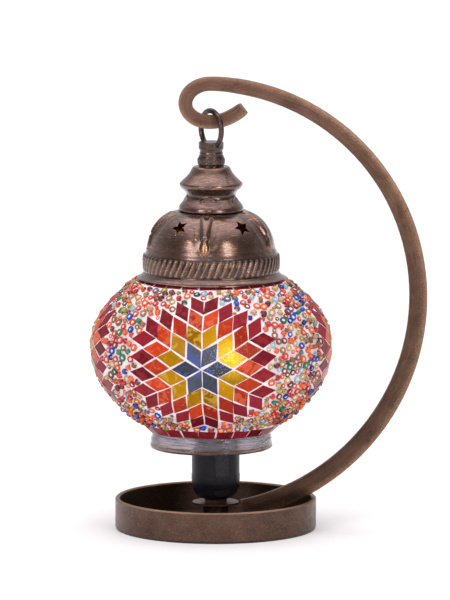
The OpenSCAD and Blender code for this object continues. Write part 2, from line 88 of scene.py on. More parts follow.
# ----- material building -----
class Graph:
    """A material's or world's nodes being put together, with one short call for each."""

    def __init__(self, owner, last_node):
        owner.use_nodes = True
        self.nodes = owner.node_tree.nodes
        self.links = owner.node_tree.links
        self.shader = self.nodes[last_node]

    def plug(self, value, socket):
        if isinstance(value, bpy.types.NodeSocket):
            self.links.new(value, socket)
        elif socket.type == "RGBA":
            socket.default_value = tuple(value) + (1.0,)
        else:
            socket.default_value = value

    def set(self, socket, value):
        self.plug(value, self.shader.inputs[socket])

    def node(self, kind, settings, sockets):
        made = self.nodes.new(kind)
        for key, value in settings.items():
            setattr(made, key, value)
        for key, value in sockets.items():
            self.plug(value, made.inputs[key])
        return made

    def where(self, kind):
        return self.node("ShaderNodeTexCoord", {}, {}).outputs[kind]

    def stretched(self, where, scale):
        return self.node("ShaderNodeVectorMath", {"operation": "MULTIPLY"},
                         {0: where, 1: scale}).outputs["Vector"]

    def joined(self, x, y):
        return self.node("ShaderNodeCombineXYZ", {}, {"X": x, "Y": y}).outputs["Vector"]

    def part(self, where, axis):
        return self.node("ShaderNodeSeparateXYZ", {}, {"Vector": where}).outputs[axis]

    def attribute(self, name):
        return self.node("ShaderNodeAttribute", {"attribute_name": name}, {}).outputs["Fac"]

    def noise(self, where, scale, detail=3.0, rough=0.55, warp=0.0):
        return self.node("ShaderNodeTexNoise", {}, {
            "Vector": where, "Scale": scale, "Detail": detail, "Roughness": rough,
            "Distortion": warp}).outputs["Fac"]

    def cells(self, where, scale):
        return self.node("ShaderNodeTexVoronoi", {}, {
            "Vector": where, "Scale": scale}).outputs["Distance"]

    def spread(self, value, low, high, to_low=0.0, to_high=1.0):
        return self.node("ShaderNodeMapRange", {"interpolation_type": "SMOOTHSTEP"}, {
            "Value": value, "From Min": low, "From Max": high,
            "To Min": to_low, "To Max": to_high}).outputs["Result"]

    def maths(self, operation, a, b):
        made = self.node("ShaderNodeMath", {"operation": operation}, {0: a, 1: b})
        return made.outputs["Value"]

    def weighted(self, a, a_weight, b, b_weight):
        return self.maths("ADD", self.maths("MULTIPLY", a, a_weight),
                          self.maths("MULTIPLY", b, b_weight))

    def mix(self, share, a, b):
        factor, first, second, result = 0, 6, 7, 2
        made = self.node("ShaderNodeMix", {"data_type": "RGBA"},
                         {factor: share, first: a, second: b})
        return made.outputs[result]


class Look(Graph):
    """A procedural surface material."""

    def __init__(self, name, settings):
        self.material = bpy.data.materials.new(name)
        super().__init__(self.material, "Principled BSDF")
        for socket, value in settings.items():
            self.set(socket, value)

    def place(self):
        """Position on the piece, in millimetres."""
        return self.stretched(self.where("Object"), [1 / MM] * 3)

    def bump(self, height, depth, strength):
        """Bump from a height of 0 to 1, depth millimetres deep."""
        made = self.node("ShaderNodeBump", {}, {
            "Height": height, "Distance": depth * MM, "Strength": strength})
        self.set("Normal", made.outputs["Normal"])


def patina(name, dark, body, rubbed, grain, rough, coat, along=False, wear=0.5,
           low_darkening=0.0, rim=None):
    """Aged metal: dark hollows, rubbed high spots, painted highlights where a piece marks
    them, and fine working lines.

    grain stretches the lines, which follow the piece's own length if along is true.
    rough is the least and the most roughness. The colour is darkened by a given share towards
    the bottom, and the last millimetre below the height rim gets a painted highlight line.
    """
    look = Look(name, {"Metallic": 1.0, "Coat Weight": coat, "Coat Roughness": 0.13,
                       "Coat IOR": 1.45})
    place = look.place()
    path = place
    if along:
        path = look.joined(look.attribute("along"), look.attribute("across"))
    clouds = look.noise(place, 0.07, detail=5, rough=0.6, warp=0.6)
    speckle = look.noise(place, 1.1, detail=4, rough=0.7)
    lines = look.noise(look.stretched(path, grain), 1.0, detail=5, rough=0.65)
    scratches = look.noise(look.stretched(path, [g * 0.35 for g in grain]), 1.0, detail=2)
    tone = look.weighted(clouds, 0.45, lines, 0.55)
    colour = look.mix(look.spread(tone, 0.36, 0.60), dark, body)
    for marks, low, high in ((lines, 0.52, 0.70), (speckle, 0.58, 0.76), (scratches, 0.64, 0.74)):
        colour = look.mix(look.spread(marks, low, high, 0.0, wear), colour, rubbed)
    # Darker towards the bottom, by the given share.
    height = look.spread(look.part(place, "Z"), 20, 330, 0.55, 0.0)
    colour = look.mix(look.maths("MULTIPLY", height, low_darkening), colour,
                      [c * 0.5 for c in dark])
    # Rubbed bright copper on high spots and speckles, plus painted highlights where a piece marks
    # them.
    worn_and_lit = look.maths("ADD", look.attribute("raised"),
                      look.maths("MULTIPLY", look.maths("SUBTRACT", speckle, 0.5), 0.8))
    colour = look.mix(look.spread(worn_and_lit, 0.45, 0.95, 0.0, 0.85), colour, rubbed)
    colour = look.mix(look.attribute("hollow"), colour, [c * 0.35 for c in dark])
    # Painted highlight: a bright line just under the height rim.
    if rim:
        edge = look.spread(look.part(place, "Z"), rim - 1.3, rim - 0.4, 0.0, 0.9)
        colour = look.mix(edge, colour, rubbed)
    look.set("Base Color", colour)
    look.set("Roughness", look.spread(tone, 0.3, 0.7, rough[1], rough[0]))
    look.bump(look.weighted(lines, 0.7, speckle, 0.5), 0.09, 0.5)
    return look.material


def plain_metal(name, dark, light, rough):
    """Bright or brassy metal with turning marks and finger stains."""
    look = Look(name, {"Metallic": 1.0})
    place = look.place()
    lines = look.noise(look.stretched(place, (0.3, 0.3, 3.0)), 1.0, detail=4)
    stain = look.noise(place, 0.25, detail=4, rough=0.6)
    look.set("Base Color", look.mix(look.spread(stain, 0.35, 0.65), dark, light))
    look.set("Roughness", look.spread(lines, 0.3, 0.7, rough * 0.7, rough * 1.3))
    look.bump(lines, 0.04, 0.4)
    return look.material


def moulded(name, dark, light, rough, grain=1.5, depth=0.05, coat=0.0, shine=0.5):
    """Moulded plastic, rubber or ceramic with a fine skin."""
    look = Look(name, {"Coat Weight": coat, "Coat Roughness": 0.15,
                       "Specular IOR Level": shine})
    place = look.place()
    skin = look.noise(place, grain, detail=4, rough=0.6)
    stain = look.noise(place, 0.09, detail=4, rough=0.6)
    look.set("Base Color", look.mix(look.spread(stain, 0.35, 0.65), dark, light))
    look.set("Roughness", look.spread(skin, 0.3, 0.7, rough * 0.8, rough * 1.2))
    look.bump(skin, depth, 0.5)
    return look.material


def mosaic_glass(name, deep, body, light, spark, mottle, glow):
    """Cut sheet glass: each tile has its own tone, marbling and hammered face.

    mottle is how strongly the second colours run through the tile, and glow how strongly the
    tiles give off a painted glow, with painted glints, standing in for the bulb's light.
    """
    look = Look(name, {"Roughness": 0.14, "Specular IOR Level": 0.2, "IOR": 1.2})
    place = look.place()
    tint = look.attribute("tint")
    other = look.attribute("second_tint")
    own_place = look.node("ShaderNodeVectorMath", {"operation": "ADD"}, {
        0: place, 1: look.joined(look.maths("MULTIPLY", tint, 90.0),
                                 look.maths("MULTIPLY", other, 70.0))}).outputs["Vector"]
    swirl = look.noise(own_place, 0.16, detail=3, rough=0.5, warp=1.4)
    grain = look.noise(own_place, 1.3, detail=4, rough=0.65)
    hammered = look.cells(own_place, 0.55)
    tone = look.weighted(tint, 0.6, swirl, 0.55)
    colour = look.mix(look.spread(tone, 0.20, 0.80), deep, body)
    patches = look.weighted(swirl, 1.0, other, 0.2)
    colour = look.mix(look.spread(patches, 0.64, 0.72, 0.0, mottle), colour, light)
    flecks = look.maths("MULTIPLY", look.spread(grain, 0.6, 0.72),
                        look.spread(other, 0.55, 0.95, 0.0, mottle))
    colour = look.mix(flecks, colour, spark)
    look.set("Base Color", colour)
    # Painted glow and painted glints: emission in the fleck colour, only round the glow spot.
    glints = look.spread(look.cells(own_place, 0.85), 0.34, 0.12)
    lit = look.maths("MULTIPLY", look.attribute("glow"),
                     look.maths("ADD", look.maths("MULTIPLY", glints, 1.6), glow))
    look.set("Emission Color", spark)
    look.set("Emission Strength", lit)
    look.bump(look.weighted(hammered, 0.5, swirl, 1.0), 0.35, 0.22)
    return look.material


def bead_glass(name, deep, body, clear):
    """Small glass beads with painted shade round their outlines: clear is the share of light
    that goes through them.
    """
    look = Look(name, {"Roughness": 0.1, "IOR": 1.42, "Transmission Weight": clear,
                       "Coat Weight": 0.15, "Coat Roughness": 0.05})
    tint = look.attribute("tint")
    streaks = look.noise(look.place(), 0.9, detail=2)
    tone = look.weighted(tint, 0.7, streaks, 0.4)
    # Painted shade: the colour darkens towards the outline, where the bead turns away from view.
    facing = look.node("ShaderNodeLayerWeight", {}, {"Blend": 0.45}).outputs["Facing"]
    core = look.mix(look.spread(tone, 0.1, 0.8), deep, body)
    rim = look.spread(facing, 0.25, 0.85)
    look.set("Base Color", look.mix(rim, core, [c * 0.32 for c in deep]))
    look.bump(streaks, 0.08, 0.3)
    return look.material


def clear_glass(name, body, lip, rough, passes):
    """Clear glass with flow lines, and a lip that the tint has run into.

    passes is the share of light that goes through; the rest is milky haze.
    """
    look = Look(name, {"IOR": 1.46, "Transmission Weight": passes, "Roughness": rough})
    place = look.place()
    waves = look.noise(look.stretched(place, (0.06, 0.06, 0.8)), 1.0, detail=3, warp=0.8)
    haze = look.noise(look.stretched(place, (0.12, 0.12, 0.8)), 1.0, detail=5, rough=0.7)
    colour = look.mix(look.spread(haze, 0.42, 0.7), body, [c * 0.62 for c in body])
    look.set("Base Color", look.mix(look.attribute("lip"), colour, lip))
    look.bump(waves, 1.2, 0.45)
    return look.material


def grout_look(name):
    """Fine white grout, slightly pink, with a sandy skin and darker hollows."""
    look = Look(name, {"Roughness": 0.85, "Specular IOR Level": 0.25})
    place = look.place()
    sand = look.noise(place, 2.2, detail=5, rough=0.7)
    stain = look.noise(place, 0.12, detail=4)
    colour = look.mix(look.spread(stain, 0.35, 0.68), (0.74, 0.66, 0.69), (0.84, 0.77, 0.80))
    look.set("Base Color", look.mix(look.spread(sand, 0.6, 0.8, 0.0, 0.35), colour,
                                    (0.62, 0.52, 0.53)))
    look.bump(sand, 0.12, 0.5)
    return look.material


def felt_look(name):
    """Black felt with fibres that lie mostly one way."""
    look = Look(name, {"Roughness": 1.0, "Sheen Weight": 0.5, "Sheen Roughness": 0.5})
    place = look.place()
    fibre = look.noise(look.stretched(place, (1.2, 3.0, 1.0)), 1.2, detail=5, rough=0.75,
                       warp=2.0)
    look.set("Base Color", look.mix(fibre, (0.008, 0.008, 0.009), (0.045, 0.042, 0.045)))
    look.bump(fibre, 0.25, 0.8)
    return look.material


LOOKS = {
    "arm": patina("arm_bronze", (0.074, 0.038, 0.026), (0.150, 0.083, 0.058),
                  (0.37, 0.21, 0.13), (0.04, 3.6, 1.0), (0.36, 0.52), 0.1, along=True,
                  low_darkening=0.8),
    "cap": patina("cap_copper", (0.082, 0.052, 0.052), (0.155, 0.088, 0.068),
                  (0.62, 0.28, 0.095), (0.22, 0.22, 2.6), (0.21, 0.35), 0.7, wear=0.55),
    "finial": patina("finial_copper", (0.030, 0.020, 0.019), (0.075, 0.048, 0.040),
                     (0.34, 0.17, 0.075), (0.3, 0.3, 1.5), (0.26, 0.42), 0.5, wear=0.3),
    "ring": patina("base_bronze", (0.083, 0.048, 0.037), (0.130, 0.077, 0.056),
                   (0.28, 0.165, 0.10), (0.35, 0.35, 0.5), (0.34, 0.52), 0.12, wear=0.3),
    # The base ring's look, with a painted highlight line under its top edge.
    "pan": patina("pan_bronze", (0.080, 0.046, 0.035), (0.125, 0.074, 0.053),
                  (0.28, 0.165, 0.10), (0.6, 0.6, 1.9), (0.34, 0.52), 0.12, wear=0.35,
                  rim=low_high("base_ring")[1][2]),
    "iron": patina("inner_bronze", (0.055, 0.040, 0.037), (0.125, 0.090, 0.076),
                   (0.30, 0.20, 0.14), (0.2, 0.2, 1.2), (0.24, 0.42), 0.3),
    "brass": plain_metal("yellow_brass", (0.42, 0.28, 0.10), (0.68, 0.50, 0.22), 0.28),
    "steel": plain_metal("bright_steel", (0.42, 0.42, 0.43), (0.66, 0.66, 0.67), 0.3),
    "nickel": plain_metal("nickel_plate", (0.55, 0.54, 0.51), (0.74, 0.73, 0.70), 0.2),
    "plastic": moulded("black_plastic", (0.006, 0.005, 0.008), (0.012, 0.010, 0.015),
                       0.34, 1.6, 0.05, shine=0.2),
    "tab": moulded("tab_plastic", (0.010, 0.009, 0.012), (0.018, 0.016, 0.022),
                   0.30, 1.6, 0.04, shine=0.28),
    "rubber": moulded("soft_rubber", (0.012, 0.012, 0.013), (0.03, 0.03, 0.032), 0.7),
    "ceramic": moulded("ceramic", (0.62, 0.58, 0.50), (0.78, 0.75, 0.68), 0.3, 0.8, 0.05, 0.6),
    "vitrite": moulded("vitrite", (0.006, 0.006, 0.01), (0.02, 0.02, 0.03), 0.12, 0.6, 0.03, 0.8),
    "felt": felt_look("felt"),
    "grout": grout_look("grout"),
    "globe": clear_glass("clear_glass", (0.44, 0.40, 0.46), (0.30, 0.13, 0.04), 0.06, 0.84),
    "bulb": clear_glass("bulb_glass", (0.95, 0.94, 0.90), (0.9, 0.9, 0.9), 0.02, 1.0),
    "filament": moulded("led_phosphor", (0.75, 0.50, 0.06), (0.9, 0.68, 0.14), 0.5, 2.5, 0.06),
    # The last number of each mosaic glass is the strength of its painted glow.
    "blue": mosaic_glass("blue_glass", (0.030, 0.036, 0.056), (0.078, 0.086, 0.120),
                         (0.025, 0.110, 0.58), (0.78, 0.62, 0.30), 0.35, 0.05),
    "yellow": mosaic_glass("yellow_glass", (0.160, 0.070, 0.002), (0.41, 0.190, 0.002),
                           (0.62, 0.38, 0.06), (0.95, 0.58, 0.05), 0.45, 0.9),
    "orange": mosaic_glass("orange_glass", (0.25, 0.017, 0.009), (0.51, 0.048, 0.013),
                           (0.63, 0.13, 0.06), (0.86, 0.18, 0.03), 0.5, 0.1),
    "red": mosaic_glass("red_glass", (0.110, 0.007, 0.012), (0.24, 0.016, 0.026),
                        (0.33, 0.03, 0.04), (0.36, 0.03, 0.04), 0.4, 0.05),
}


# ----- mesh building -----
def placed(name, data):
    """A new object in the scene."""
    made = bpy.data.objects.new(name, data)
    bpy.context.scene.collection.objects.link(made)
    return made


def mesh_of(name, points, faces):
    """A mesh from points in millimetres."""
    mesh = bpy.data.meshes.new(name)
    mesh.from_pydata((np.asarray(points, float) * MM).tolist(), [],
                     [list(face) for face in faces])
    return mesh


def piece(name, points, faces, look, body, stands_for=(), smooth=True, marks=None):
    """Makes a piece that rides a body; marks are the float attributes of its points."""
    mesh = mesh_of(name, points, faces)
    for label, values in (marks or {}).items():
        layer = mesh.attributes.new(label, "FLOAT", "POINT")
        layer.data.foreach_set("value", np.asarray(values, np.float32))
    mesh.polygons.foreach_set("use_smooth", [smooth] * len(mesh.polygons))
    mesh.materials.append(LOOKS[look])
    made = placed(name, mesh)
    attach(made, body)
    if stands_for:
        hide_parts(*stands_for)
    return made


def bezier(a, b, c, d, steps):
    """Points of a cubic curve, without its first one."""
    t = np.arange(1, steps + 1)[:, None] / steps
    a, b, c, d = (np.array(p, float) for p in (a, b, c, d))
    return (1 - t) ** 3 * a + 3 * (1 - t) ** 2 * t * b + 3 * (1 - t) * t * t * c + t ** 3 * d


def arc(centre, rx, rz, start, end, steps):
    """Points of an elliptic arc between two angles in degrees."""
    angles = np.radians(np.linspace(start, end, steps + 1))
    return np.array(centre) + np.stack([rx * np.cos(angles), rz * np.sin(angles)], axis=1)


def resampled(path, gap):
    """The same path with points about gap millimetres apart, its corners kept."""
    found = [path[0]]
    for a, b in zip(path[:-1], path[1:]):
        cuts = max(1, round(np.linalg.norm(b - a) / gap))
        found.extend(a + (b - a) * k / cuts for k in range(1, cuts + 1))
    return np.array(found)


def unit(vectors):
    """Vectors of length 1 with the same directions."""
    return vectors / np.linalg.norm(vectors, axis=-1)[..., None]


def path_normals(path):
    """Unit normals of a profile, on the left of its direction."""
    run = unit(np.gradient(path, axis=0))
    return np.stack([-run[:, 1], run[:, 0]], axis=1)


def ring_quads(rings, count, closed=True):
    """Faces between rings of count points; closed joins the last ring to the first."""
    i, j = np.meshgrid(np.arange(rings if closed else rings - 1), np.arange(count),
                       indexing="ij")
    up, on = (i + 1) % rings, (j + 1) % count
    quads = np.stack([i * count + j, up * count + j, up * count + on, i * count + on], axis=2)
    return quads.reshape(-1, 4).tolist()


def capped_rings(rings, count):
    """Faces of a solid that runs from its first ring of points to its last."""
    sides = [[a, d, c, b] for a, b, c, d in ring_quads(rings, count, closed=False)]
    last = (rings - 1) * count
    return sides + [list(range(count))[::-1], list(range(last, last + count))]


def shifted(faces, start):
    """Faces renumbered for points that are added after start others."""
    return [[i + start for i in face] for face in faces]


def turned(loop, count, push):
    """Turns a profile loop about the lamp's hanging axis.

    push(angle, r, z) gives how far each point moves along the profile's normal.
    """
    angles = np.arange(count) * TURN / count
    turn, r = np.meshgrid(angles, loop[:, 0])
    z = np.repeat(loop[:, 1:], count, axis=1)
    moved = push(turn, r, z)
    normals = path_normals(loop)
    r = r + moved * normals[:, :1]
    z = z + moved * normals[:, 1:]
    points = np.stack([HANG_X + r * np.cos(turn), r * np.sin(turn), z], axis=2)
    return points.reshape(-1, 3), ring_quads(len(loop), count), moved.reshape(-1)


def ripple(turn, z, waves, seed):
    """Smooth uneven swell round a turned piece, from -1 to 1."""
    picks = random.Random(seed)
    total = np.zeros_like(turn)
    for _ in range(waves):
        total += np.sin(picks.randint(1, 5) * turn + z * picks.uniform(-0.4, 0.4)
                        + picks.uniform(0, TURN))
    return total / waves


def carve(made, points, faces):
    """Cuts the solid with these points and faces out of a piece's mesh."""
    tool = placed("tool", mesh_of("tool", points, faces))
    cut = made.modifiers.new("cut", "BOOLEAN")
    cut.operation = "DIFFERENCE"
    cut.solver = "EXACT"
    cut.object = tool
    bpy.context.view_layer.update()
    graph = bpy.context.evaluated_depsgraph_get()
    mesh = bpy.data.meshes.new_from_object(made.evaluated_get(graph))
    made.modifiers.clear()
    made.data = mesh
    bpy.data.objects.remove(tool)


def keep_sharp(made, degrees=35):
    """Smooth shading that keeps edges sharper than the given angle."""
    made.data.set_sharp_from_angle(angle=math.radians(degrees))


# ----- swan arm -----
def merged_mesh(node):
    """A CAD node's mesh with its split corners joined again."""
    weld = 0.002 * MM
    work = bmesh.new()
    work.from_mesh(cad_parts[node].data)
    bmesh.ops.remove_doubles(work, verts=work.verts, dist=weld)
    return work


def arm_outline():
    """Both edges of the arm's front face, as matching points from foot to tip."""
    work = merged_mesh("swan_arm")
    front = {f for f in work.faces if f.normal.y < -0.9}
    edges = [e for e in work.edges if sum(f in front for f in e.link_faces) == 1]
    around = {}
    for edge in edges:
        a, b = edge.verts
        around.setdefault(a, []).append(b)
        around.setdefault(b, []).append(a)
    foot = min(edges, key=lambda e: (e.verts[0].co.z + e.verts[1].co.z) / 2)
    sides = []
    for start, other in (foot.verts, reversed(foot.verts)):
        line, last = [start], other
        while len(line) < len(around) // 2:
            following = next(v for v in around[line[-1]] if v != last)
            last = line[-1]
            line.append(following)
        sides.append(np.array([[v.co.x, v.co.z] for v in line]) / MM)
    work.free()
    return sides


def swan_arm():
    """The arm: a cut plate with eased edges, brushed along its length."""
    left, right = arm_outline()
    low, high = low_high("swan_arm")
    ease = 0.55
    back_shift = 20
    corner = [(ease * (1 - math.cos(a)), ease * (1 - math.sin(a)))
              for a in np.radians([0, 30, 60, 90])]
    centre = (left + right) / 2
    steps = np.linalg.norm(np.diff(centre, axis=0), axis=1)
    length = np.concatenate([[0], np.cumsum(steps)])
    points, along, across, raised = [], [], [], []
    for a, b, run in zip(left, right, length):
        width = np.linalg.norm(b - a)
        side = (b - a) / width
        front = corner + [(width - inset, drop) for inset, drop in reversed(corner)]
        ring = [(u, low[1] + drop) for u, drop in front]
        ring += [(u, high[1] - drop) for u, drop in reversed(front)]
        for u, y in ring:
            x, z = a + side * u
            points.append((x, y, z))
            along.append(run)
            across.append(u + (back_shift if y > 0 else 0))
            raised.append(0.75 if 0 < min(u, width - u) < ease else 0.0)
    faces = capped_rings(len(left), 4 * len(corner))
    made = piece("swan_arm_plate", points, faces, "arm", "stand",
                 ["swan_arm"], marks={"along": along, "across": across, "raised": raised})
    keep_sharp(made)


# ----- finial and cap -----
SHEET_T = 1.0
FLUTES = 5
FLUTE_AZ = math.radians(-100)
VENT_AZ = math.radians(-58.5)
VENT_AT = (36.6, 214.6)
VENT_TILT = math.radians(41)
VENT_R = 6.4
VENT_INNER = 0.49
ROPE_RIDGES = 63
ROPE_LOW, ROPE_HIGH = 181.6, 193.0


def sheet_loop(outer, gap):
    """A closed profile of sheet metal, from the points of its outer side."""
    inner = (outer - path_normals(outer) * SHEET_T)[::-1]
    return resampled(np.concatenate([outer, inner]), gap)[:-1]


def flute_offset(turn):
    """Angle from the nearest flute."""
    step = TURN / FLUTES
    return (turn - FLUTE_AZ + step / 2) % step - step / 2


KNURLS = 11
KNURL_DEPTH = 0.42


def knurl(turn, r, z):
    """Diamond pattern on the finial's lower band."""
    low = low_high("finial")[0][2]
    band = np.clip((z - low - 1.2) / 0.5, 0, 1) * np.clip((low + 6.0 - z) / 0.5, 0, 1)
    band = band * (r > 8.6)
    rise = (z - low) * 1.35
    across = KNURLS * turn
    return -KNURL_DEPTH * band * (1 - np.abs(np.sin(across + rise) * np.sin(across - rise)))


def link_bore():
    """Points and faces of the round channel that the link ring takes through the finial."""
    low, high = low_high("link_ring")
    wire_r, room = 1.9, 0.45
    ring_r = (high[2] - low[2]) / 2 - wire_r
    wide, deep = (high - low)[:2] / 2 - wire_r
    along = np.array([wide, -deep, 0]) / math.hypot(wide, deep)
    beside = np.array([-along[1], along[0], 0])
    rounds, sides = 96, 24
    a, b = np.meshgrid(np.arange(rounds) * TURN / rounds, np.arange(sides) * TURN / sides,
                       indexing="ij")
    reach = ring_r + (wire_r + room) * np.cos(b)
    points = ((low + high) / 2 + (reach * np.cos(a))[..., None] * along
              + ((wire_r + room) * np.sin(b))[..., None] * beside
              + (reach * np.sin(a))[..., None] * np.array([0, 0, 1]))
    return points.reshape(-1, 3), ring_quads(rounds, sides)


def finial():
    """The knurled knob, bored through for the link ring."""
    low, high = low_high("finial")
    z = low[2]
    loop = np.array([
        (0.3, z), (8.7, z), (8.8, z + 1.1), (9.2, z + 2.5), (9.2, z + 5.3), (8.6, z + 7.3),
        (7.9, z + 8.3), (8.2, z + 8.7), (8.2, z + 9.4), (7.9, z + 9.8), (7.9, z + 11.1),
        (8.3, z + 11.9), (8.7, z + 12.6), (8.7, z + 16.5), (8.0, high[2]), (0.3, high[2])])
    points, faces, moved = turned(resampled(loop, 0.45), 24 * KNURLS, knurl)
    banded = np.clip((z + 7.0 - points[:, 2]) / 0.5, 0, 1)
    raised = banded * np.clip(1 + moved / KNURL_DEPTH, 0, 1) * 0.5
    made = piece("finial_knob", points, faces, "finial", "shade", ["finial"],
                 marks={"raised": raised})
    carve(made, *link_bore())
    keep_sharp(made, 40)


def crown_push(turn, r, z):
    """Hand-spun unevenness, and the peak that each flute leaves between the two rolls."""
    low = low_high("cap_crown")[0][2]
    away = np.abs(flute_offset(turn)) * r
    ridge = z - low - 10.2 + 0.42 * away
    peak = np.exp(-(ridge / 1.1) ** 2) * np.clip((6.4 - away) / 2.0, 0, 1)
    return 0.12 * ripple(turn, z, 5, 3) + 0.75 * peak


def crown():
    """The crown: two rolls with a waist between them."""
    low, high = low_high("cap_crown")
    top = high[2]
    count = 240
    parts = [np.array([(2.7, top), (11.4, top)])]
    for curve in (
            ((13.2, top), (13.6, top - 2.4), (15.2, top - 4.8)),
            ((16.8, top - 6.9), (19.9, top - 9.8), (21.3, top - 11.0)),
            ((22.3, top - 11.9), (22.2, top - 13.4), (21.1, top - 14.6)),
            ((19.2, top - 16.8), (17.1, top - 17.8), (17.1, top - 19.7)),
            ((17.1, top - 21.6), (18.2, top - 22.7), (19.6, top - 24.3)),
            ((22.1, top - 27.0), (22.7, top - 28.0), (22.7, low[2]))):
        parts.append(bezier(parts[-1][-1], *curve, 8))
    loop = sheet_loop(np.concatenate(parts), 0.8)
    points, faces, _ = turned(loop, count, crown_push)
    rolls = [np.exp(-((loop[:, 1] - (top - at)) / 1.3) ** 2) for at in (12.4, 27.4)]
    raised = np.repeat(0.55 * np.maximum(*rolls) * (loop[:, 0] > 18), count)
    waist = np.repeat(0.7 * np.exp(-((loop[:, 1] - (top - 18.8)) / 3.2) ** 2), count)
    piece("cap_crown_spun", points, faces, "cap", "shade", ["cap_crown"],
          marks={"raised": raised, "hollow": waist})


def rope(turn, z):
    """Slanted ridges of the rope band, from 0 to 1."""
    band = np.clip((z - ROPE_LOW) / 0.8, 0, 1) * np.clip((ROPE_HIGH - z) / 0.8, 0, 1)
    wave = np.cos(ROPE_RIDGES * turn - (z - ROPE_LOW) * 0.60)
    return band * np.clip(1.2 * wave - 0.1, 0, 1) ** 0.8


def flute(turn, r, z):
    """A rib that runs down the dome, narrows, and ends in a drop, with hollows beside it."""
    top, foot, drop_z, drop_reach = 222.8, 205.0, 201.8, 5.0
    away = np.abs(flute_offset(turn)) * r
    fall = np.clip((top - 0.4 - z) / 17.0, 0, 1)
    rib_half = 4.8 - 2.4 * fall
    rib = np.clip((z - foot) / 4, 0, 1) * np.clip((top - z) / 1.2, 0, 1)
    drop_half = 3.5 * np.sqrt(np.clip(1 - ((z - drop_z) / drop_reach) ** 2, 0, 1)) + 0.01
    ribbed = rib * np.clip(1 - (away / rib_half) ** 2, 0, 1) ** 0.8
    dropped = np.clip(1 - (away / drop_half) ** 2, 0, 1) * (np.abs(z - drop_z) < drop_reach)
    beside = (np.exp(-((away - rib_half - 3.4) / 3.2) ** 2)
              * np.clip((z - 200) / 9, 0, 1) * np.clip((223 - z) / 6, 0, 1))
    pit = np.exp(-(away / 1.5) ** 2 - ((z - 220.6) / 1.3) ** 2)
    return 2.1 * ribbed + 1.5 * dropped - 0.7 * beside - 0.9 * pit


def dome_push(turn, r, z):
    """Rope, flutes, the grooves beside the rope, and hand-spun unevenness."""
    outside = 0.7 * rope(turn, z) + flute(turn, r, z)
    edges = sum(np.exp(-((z - at) / 0.5) ** 2) for at in (ROPE_LOW - 0.7, ROPE_HIGH + 0.7))
    return outside + 0.13 * ripple(turn, z, 6, 8) - 0.25 * edges


def star_tool(k):
    """Points of vent k's five-pointed prism, square to the dome and a little turned."""
    tips, reach = 5, 6.0
    az = VENT_AZ + k * TURN / FLUTES
    turn = math.radians(195 + 3.3 * k)
    out = np.array([math.cos(az), math.sin(az), 0])
    axis = math.cos(VENT_TILT) * out + np.array([0, 0, math.sin(VENT_TILT)])
    down = math.sin(VENT_TILT) * out - np.array([0, 0, math.cos(VENT_TILT)])
    side = np.array([-math.sin(az), math.cos(az), 0])
    centre = np.array([HANG_X, 0, VENT_AT[1]]) + VENT_AT[0] * out
    points = []
    for way in (-reach, reach):
        for i in range(2 * tips):
            angle = i * math.pi / tips + turn
            r = VENT_R * (1.0 if i % 2 == 0 else VENT_INNER)
            points.append(centre + way * axis + r * math.cos(angle) * down
                          + r * math.sin(angle) * side)
    return points


def dome():
    """The dome with its flutes, rope band and flared rim, and its five star vents."""
    low, high = low_high("cap_dome")
    outer = np.concatenate([
        [(2.7, high[2])], arc((20, 194), 24.5, high[2] - 194, 90, 8, 40),
        bezier((44.3, 198), (44.8, 195.4), (46.6, 193.4), (46.8, 191.4), 8),
        bezier((46.8, 191.4), (47.3, 188), (47.1, 185), (46.9, 183.4), 8),
        bezier((46.9, 183.4), (46.9, 180.2), (48.4, 177.8), (51.3, 176.7), 10),
        [(51.45, 176.2)]])
    loop = sheet_loop(outer, 0.75)
    count = ROPE_RIDGES * 8
    points, faces, _ = turned(loop, count, dome_push)
    turn = np.tile(np.arange(count) * TURN / count, len(loop))
    z = np.repeat(loop[:, 1], count)
    r = np.repeat(loop[:, 0], count)
    rim = np.clip(1 - (z - low[2]) / 2.0, 0, 1)
    # Painted highlight: a band of brighter copper round the dome's lower part.
    painted_highlight_band = np.exp(-((z - 201) / 5) ** 2)
    # Marks for rubbed copper, with the painted highlight band among them.
    raised = np.clip(0.75 * rope(turn, z) ** 2 + 0.25 * flute(turn, r, z) + 0.4 * rim
                     + 0.42 * painted_highlight_band, 0, 1)
    in_rope = (z > ROPE_LOW - 1.2) & (z < ROPE_HIGH + 1.2)
    hollow = 0.75 * in_rope * np.clip(1 - 2 * rope(turn, z), 0, 1)
    made = piece("cap_dome_spun", points, faces, "cap", "shade", ["cap_dome"],
                 marks={"raised": raised, "hollow": hollow})
    stars, star_faces = [], []
    for k in range(FLUTES):
        corners = star_tool(k)
        star_faces += shifted(capped_rings(2, len(corners) // 2), len(stars))
        stars += corners
    carve(made, stars, star_faces)
    keep_sharp(made, 50)


# ----- globe -----
def profile(lat, grow):
    """Radius and height of the globe at latitudes in radians, with its cone at the foot."""
    half = np.where(lat > 0, GLOBE_UP, GLOBE_DOWN) + grow
    share = (math.radians(SHOULDER_LAT) - lat) / math.radians(GLASS_LAT + SHOULDER_LAT)
    cone = SHOULDER_TOP + share[..., None] * SHOULDER_RUN + grow * SHOULDER_OUT
    r = np.where(share > 0, cone[..., 0], (GLOBE_R + grow) * np.cos(lat))
    z = np.where(share > 0, cone[..., 1], EQUATOR_Z + half * np.sin(lat))
    return r, z


def on_globe(lat, az, grow):
    """Points outside the bare glass, at latitudes and azimuths in radians."""
    r, z = profile(np.asarray(lat), grow)
    return np.stack([HANG_X + r * np.cos(az), r * np.sin(az), z], axis=-1)


